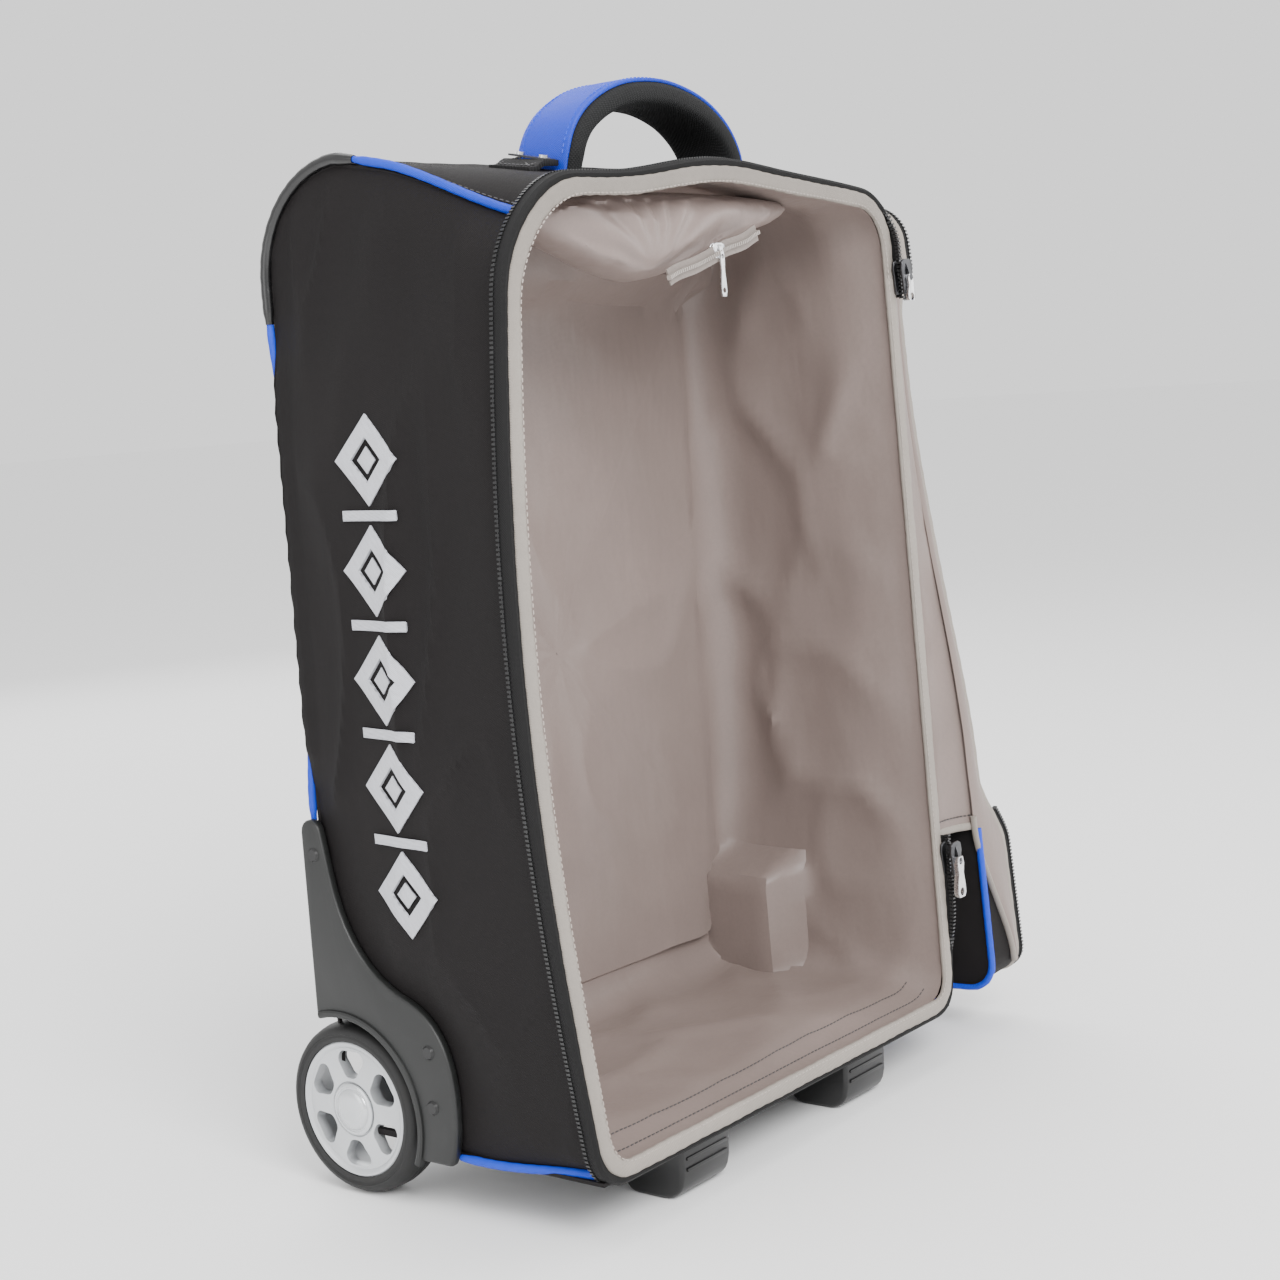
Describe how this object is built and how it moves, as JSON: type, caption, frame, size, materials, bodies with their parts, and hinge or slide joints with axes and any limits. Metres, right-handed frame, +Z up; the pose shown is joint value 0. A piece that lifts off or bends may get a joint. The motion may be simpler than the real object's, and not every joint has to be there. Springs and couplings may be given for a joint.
{
  "type": "skate bag",
  "caption": "Upright wheeled skate bag with an unzipped fabric front flap, padded carry handle, telescopic handle, wheels and front feet.",
  "frame": {"origin": "on the floor, under the middle of the bounding box of the bag with its flap folded open", "axes": "+Z up, -Y out of the open front, +X towards the side that carries the flap hinge"},
  "size_m": [0.4527, 0.3724, 0.5959],
  "materials": {
    "black_polyester": "matt plain-weave polyester with a light sheen",
    "board": "plain sheet",
    "lining": "thin taupe satin nylon with soft folds",
    "blue_piping": "tight woven tape over cord",
    "black_plastic": "moulded, lightly grained",
    "guard_plastic": "moulded, satin",
    "binding": "light taupe bias tape, stitched",
    "zip_tape": "woven zip tape",
    "zip_teeth": "nylon coil",
    "embroidery": "white satin stitch",
    "zinc": "nickel plated",
    "dark_metal": "black enamel",
    "axle_steel": "zinc plated",
    "tyre": "smooth rubber",
    "wheel_silver": "silver-grey moulded",
    "cap_silver": "silver-grey moulded",
    "tube_aluminium": "anodised",
    "button_grey": "moulded",
    "handle_blue": "blue woven cover over foam with a dark padded underside",
    "handle_black": "woven webbing"
  },
  "bodies": {
    "shell": {"left_side_panel": "black_polyester", "right_side_panel": "black_polyester", "top_panel": "black_polyester", "back_panel": "black_polyester", "bottom_panel": "black_polyester", "back_board": "board", "base_board": "board", "main_lining": "lining", "left_piping": "blue_piping", "right_piping": "blue_piping", "corner_bumpers": "black_plastic", "opening_binding": "binding", "body_zip_tape": "zip_tape", "body_zip_teeth": "zip_teeth", "side_emblem": "embroidery", "top_pocket": "lining", "pocket_zip": "binding", "left_wheel_guard": "guard_plastic", "right_wheel_guard": "guard_plastic", "left_wheel_well": "black_plastic", "right_wheel_well": "black_plastic", "left_axle": "axle_steel", "right_axle": "axle_steel", "left_foot": "black_plastic", "right_foot": "black_plastic", "foot_screws": "zinc", "handle_bezel": "black_plastic", "outer_tubes": "tube_aluminium", "tube_bracket": "black_plastic", "handle_roots": "zinc", "root_rivets": "zinc", "guard_rivets": "zinc", "carry_webbing": "handle_black"},
    "left_wheel": {"left_tyre": "tyre", "left_rim": "wheel_silver", "left_cap": "cap_silver", "left_bearings": "axle_steel"},
    "right_wheel": {"right_tyre": "tyre", "right_rim": "wheel_silver", "right_cap": "cap_silver", "right_bearings": "axle_steel"},
    "middle_stage": {"middle_tubes": "tube_aluminium"},
    "grip_stage": {"inner_tubes": "tube_aluminium", "grip": "black_plastic"},
    "button": {"grip_button": "button_grey"},
    "carry_handle": {"carry_pad": "handle_blue"},
    "hinge_strip": {"hinge_gusset": "lining"},
    "flap": {"flap_panel": "black_polyester", "flap_gusset": "black_polyester", "flap_lining": "lining", "flap_piping": "blue_piping", "flap_zip_tape": "zip_tape", "flap_zip_teeth": "zip_teeth"},
    "lower_slider": {"lower_slider": "dark_metal"},
    "lower_pull": {"lower_pull": "zinc"},
    "upper_slider": {"upper_slider": "dark_metal"},
    "upper_pull": {"upper_pull": "zinc"},
    "pocket_slider": {"pocket_slider": "zinc"},
    "pocket_pull": {"pocket_pull": "zinc"}
  },
  "joints": [
    {"name": "left_wheel_spin", "type": "hinge", "parent": "shell", "child": "left_wheel", "pos_m": [-0.1991, -0.0032, 0.048], "axis": [1, 0, 0], "continuous": true},
    {"name": "right_wheel_spin", "type": "hinge", "parent": "shell", "child": "right_wheel", "pos_m": [0.1249, -0.0032, 0.048], "axis": [1, 0, 0], "continuous": true},
    {"name": "handle_stage_1", "type": "slide", "parent": "shell", "child": "middle_stage", "axis": [0, 0, 1], "range_m": [0, 0.23]},
    {"name": "handle_stage_2", "type": "slide", "parent": "middle_stage", "child": "grip_stage", "axis": [0, 0, 1], "range_m": [0, 0.24]},
    {"name": "grip_button_press", "type": "slide", "parent": "grip_stage", "child": "button", "axis": [0, 0, -1], "range_m": [0, 0.0025], "stiffness_N_per_m": 400},
    {"name": "carry_handle_tilt", "type": "hinge", "parent": "shell", "child": "carry_handle", "pos_m": [-0.0371, -0.1082, 0.549], "axis": [1, 0, 0], "range_deg": [-30, 30]},
    {"name": "hinge_strip_turn", "type": "hinge", "parent": "shell", "child": "hinge_strip", "pos_m": [0.1359, -0.1772, 0.033], "axis": [0, 0.0322, 0.9995], "range_deg": [-90, 0]},
    {"name": "flap_fold", "type": "hinge", "parent": "hinge_strip", "child": "flap", "pos_m": [0.18587, -0.17725, 0.03139], "axis": [-0.0442, 0.0322, 0.9985], "range_deg": [-180, 0]},
    {"name": "lower_slider_run", "type": "slide", "parent": "shell", "child": "lower_slider", "axis": [-0.0815, -0.0757, -0.9938], "range_m": [0, 0.045]},
    {"name": "lower_pull_swing", "type": "hinge", "parent": "lower_slider", "child": "lower_pull", "pos_m": [0.14416, -0.18242, 0.12565], "axis": [1, 0, 0], "range_deg": [-110, 0]},
    {"name": "upper_slider_run", "type": "slide", "parent": "shell", "child": "upper_slider", "axis": [-0.0883, -0.015, 0.996], "range_m": [0, 0.008]},
    {"name": "upper_pull_swing", "type": "hinge", "parent": "upper_slider", "child": "upper_pull", "pos_m": [0.14025, -0.17299, 0.48216], "axis": [1, 0, 0], "range_deg": [-110, 0]},
    {"name": "pocket_slider_run", "type": "slide", "parent": "shell", "child": "pocket_slider", "axis": [0.9632, 0, 0.2688], "range_m": [-0.042, 0.032]},
    {"name": "pocket_pull_swing", "type": "hinge", "parent": "pocket_slider", "child": "pocket_pull", "pos_m": [-0.03002, -0.157, 0.49729], "axis": [1, 0, 0], "range_deg": [-100, 0]}
  ],
  "couplings": [
    {"joint": "flap_fold", "follows": "hinge_strip_turn", "ratio": 2}
  ]
}
